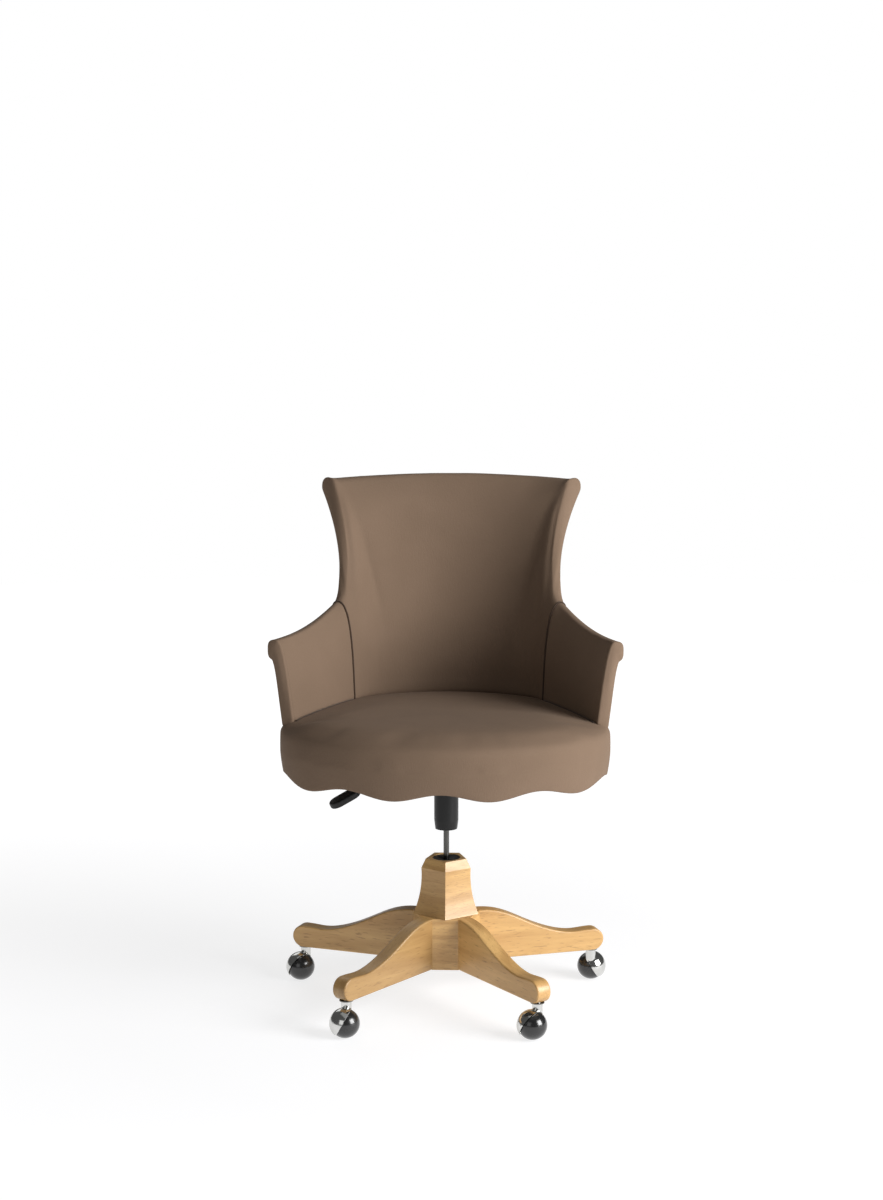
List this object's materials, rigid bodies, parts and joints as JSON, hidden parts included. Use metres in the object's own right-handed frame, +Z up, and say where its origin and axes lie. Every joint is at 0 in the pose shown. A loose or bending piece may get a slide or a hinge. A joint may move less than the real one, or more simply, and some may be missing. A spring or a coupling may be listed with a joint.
{
  "type": "swivel desk chair",
  "caption": "Upholstered tub desk chair with a rolled back, low arms and scalloped seat, on a height-adjustable swivel column, an oak star base and ball casters.",
  "frame": {"origin": "on the floor, straight under the swivel column", "axes": "+Z up along the column, -Y towards the front of the seat, +X to the right in the front view"},
  "size_m": [0.6156, 0.577, 0.915],
  "materials": {
    "oak": "clear lacquered light oak",
    "upholstery": "smooth woven taupe brown cloth",
    "dust_cloth": "thin black lining cloth",
    "plywood": "bare moulded plywood",
    "black_steel": "satin black coat",
    "bright_steel": "ground bright steel",
    "black_plastic": "fine moulded black plastic",
    "caster_metal": "polished plated metal",
    "caster_tread": "smooth black plastic"
  },
  "bodies": {
    "base": {"hub": "oak", "leg_1": "oak", "leg_2": "oak", "leg_3": "oak", "leg_4": "oak", "leg_5": "oak", "leg_dowels": "oak", "leg_bolts": "bright_steel", "caster_sockets": "bright_steel", "stand_tube": "black_steel", "guide_bush": "black_plastic", "lower_race": "bright_steel", "bearing_balls": "bright_steel", "bearing_cage": "black_plastic"},
    "column": {"piston_rod": "bright_steel", "piston": "bright_steel", "rod_clip": "bright_steel", "upper_race": "bright_steel"},
    "seat": {"gas_cylinder": "black_steel", "column_sleeve": "black_plastic", "seat_plate": "black_steel", "lever_pin": "bright_steel", "plate_bolts": "bright_steel", "tee_nuts": "bright_steel", "shell_screws": "bright_steel", "seat_board": "plywood", "dust_cover": "dust_cloth", "seat_apron": "upholstery", "seat_cushion": "upholstery", "back_core": "plywood", "arm_core_right": "plywood", "arm_core_left": "plywood", "back_pad": "upholstery", "arm_pad_right": "upholstery", "arm_pad_left": "upholstery", "arm_facing_right": "upholstery", "arm_facing_left": "upholstery"},
    "lever": {"lever_rod": "black_steel", "lever_paddle": "black_plastic"},
    "valve": {"valve_pin": "bright_steel"},
    "caster_1": {"caster_stem_1": "bright_steel", "caster_hood_1": "caster_metal", "caster_axle_1": "bright_steel"},
    "wheel_1": {"caster_wheel_1": "caster_tread"},
    "caster_2": {"caster_stem_2": "bright_steel", "caster_hood_2": "caster_metal", "caster_axle_2": "bright_steel"},
    "wheel_2": {"caster_wheel_2": "caster_tread"},
    "caster_3": {"caster_stem_3": "bright_steel", "caster_hood_3": "caster_metal", "caster_axle_3": "bright_steel"},
    "wheel_3": {"caster_wheel_3": "caster_tread"},
    "caster_4": {"caster_stem_4": "bright_steel", "caster_hood_4": "caster_metal", "caster_axle_4": "bright_steel"},
    "wheel_4": {"caster_wheel_4": "caster_tread"},
    "caster_5": {"caster_stem_5": "bright_steel", "caster_hood_5": "caster_metal", "caster_axle_5": "bright_steel"},
    "wheel_5": {"caster_wheel_5": "caster_tread"}
  },
  "joints": [
    {"name": "seat_swivel", "type": "hinge", "parent": "base", "child": "column", "pos_m": [0, 0, 0.25], "axis": [0, 0, 1], "continuous": true},
    {"name": "seat_lift", "type": "slide", "parent": "column", "child": "seat", "axis": [0, 0, 1], "range_m": [-0.04, 0.05]},
    {"name": "lever_lift", "type": "hinge", "parent": "seat", "child": "lever", "pos_m": [-0.03007, -0.01094, 0.443], "axis": [-0.342, 0.9397, 0], "range_deg": [0, 5.4], "stiffness_Nm_per_rad": 1, "springref_deg": -5.73},
    {"name": "valve_press", "type": "slide", "parent": "seat", "child": "valve", "axis": [0, 0, 1], "range_m": [-0.0034, 0]},
    {"name": "caster_1_swivel", "type": "hinge", "parent": "base", "child": "caster_1", "pos_m": [0.26154, 0.08498, 0.06], "axis": [0, 0, 1], "continuous": true},
    {"name": "wheel_1_roll", "type": "hinge", "parent": "caster_1", "child": "wheel_1", "pos_m": [0.26276, 0.09893, 0.025], "axis": [-0.8627, 0.0755, -0.5], "continuous": true},
    {"name": "caster_2_swivel", "type": "hinge", "parent": "base", "child": "caster_2", "pos_m": [0, 0.275, 0.06], "axis": [0, 0, 1], "continuous": true},
    {"name": "wheel_2_roll", "type": "hinge", "parent": "caster_2", "child": "wheel_2", "pos_m": [-0.01316, 0.27021, 0.025], "axis": [0.2962, -0.8138, -0.5], "continuous": true},
    {"name": "caster_3_swivel", "type": "hinge", "parent": "base", "child": "caster_3", "pos_m": [-0.26154, 0.08498, 0.06], "axis": [0, 0, 1], "continuous": true},
    {"name": "wheel_3_roll", "type": "hinge", "parent": "caster_3", "child": "wheel_3", "pos_m": [-0.26957, 0.07351, 0.025], "axis": [0.7094, -0.4967, -0.5], "continuous": true},
    {"name": "caster_4_swivel", "type": "hinge", "parent": "base", "child": "caster_4", "pos_m": [-0.16164, -0.22248, 0.06], "axis": [0, 0, 1], "continuous": true},
    {"name": "wheel_4_roll", "type": "hinge", "parent": "caster_4", "child": "wheel_4", "pos_m": [-0.16286, -0.23643, 0.025], "axis": [0.8627, -0.0755, -0.5], "continuous": true},
    {"name": "caster_5_swivel", "type": "hinge", "parent": "base", "child": "caster_5", "pos_m": [0.16164, -0.22248, 0.06], "axis": [0, 0, 1], "continuous": true},
    {"name": "wheel_5_roll", "type": "hinge", "parent": "caster_5", "child": "wheel_5", "pos_m": [0.15361, -0.23395, 0.025], "axis": [0.7094, -0.4967, -0.5], "continuous": true}
  ],
  "couplings": [
    {"joint": "valve_press", "follows": "lever_lift", "m_per_rad": -0.036}
  ]
}
